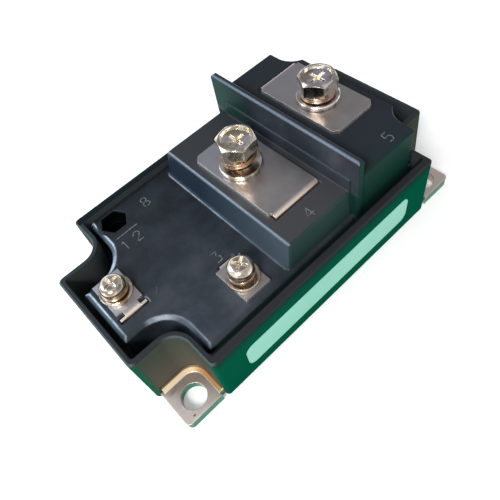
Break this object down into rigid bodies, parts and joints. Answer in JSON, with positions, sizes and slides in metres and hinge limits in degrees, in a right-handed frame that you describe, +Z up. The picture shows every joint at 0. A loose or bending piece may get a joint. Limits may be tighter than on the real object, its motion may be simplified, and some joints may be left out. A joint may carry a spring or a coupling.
{
  "type": "power transistor module",
  "caption": "Power transistor module with a metal base plate, stepped terminal cover, barrier wall, bolted main terminals and small screwed control terminals.",
  "frame": {"origin": "middle of the heat-sink face of the base plate", "axes": "+X along the length from the control end to the collector end, +Z up from the heat-sink face, +Y to the left seen from the control end"},
  "size_m": [0.108, 0.062, 0.0413],
  "materials": {
    "base_plate": "satin nickel plating on copper",
    "case_plastic": "dark moulded plastic",
    "cover_plastic": "fine matt moulded plastic",
    "label": "matt coated sticker",
    "gel": "clear soft silicone",
    "ceramic": "fired alumina",
    "terminal_plating": "satin nickel plating on copper",
    "copper": "etched copper",
    "silicon": "silicon with a metallised face",
    "bond_wire": "drawn aluminium",
    "fastener_plating": "bright nickel plating on steel"
  },
  "bodies": {
    "root": {"base_plate": "base_plate", "case_frame": "case_plastic", "terminal_cover": "cover_plastic", "side_label": "label", "silicone_gel": "gel", "ceramic_substrate": "ceramic", "emitter_terminal": "terminal_plating", "collector_terminal": "terminal_plating", "base_terminal": "terminal_plating", "auxiliary_terminal": "terminal_plating", "substrate_copper": "copper", "collector_track": "copper", "emitter_track": "copper", "base_track": "copper", "auxiliary_track": "copper", "driver_transistor_die": "silicon", "speed_up_diode_die": "silicon", "output_transistor_die_1": "silicon", "output_transistor_die_2": "silicon", "freewheel_diode_die": "silicon", "output_bond_wires": "bond_wire", "base_bond_wires": "bond_wire", "auxiliary_bond_wires": "bond_wire", "driver_bond_wires": "bond_wire", "emitter_bolt": "fastener_plating", "emitter_spring_washer": "fastener_plating", "emitter_flat_washer": "fastener_plating", "emitter_nut": "fastener_plating", "collector_bolt": "fastener_plating", "collector_spring_washer": "fastener_plating", "collector_flat_washer": "fastener_plating", "collector_nut": "fastener_plating", "base_screw": "fastener_plating", "base_spring_washer": "fastener_plating", "base_flat_washer": "fastener_plating", "base_nut": "fastener_plating", "auxiliary_screw": "fastener_plating", "auxiliary_spring_washer": "fastener_plating", "auxiliary_flat_washer": "fastener_plating", "auxiliary_nut": "fastener_plating"}
  },
  "joints": []
}
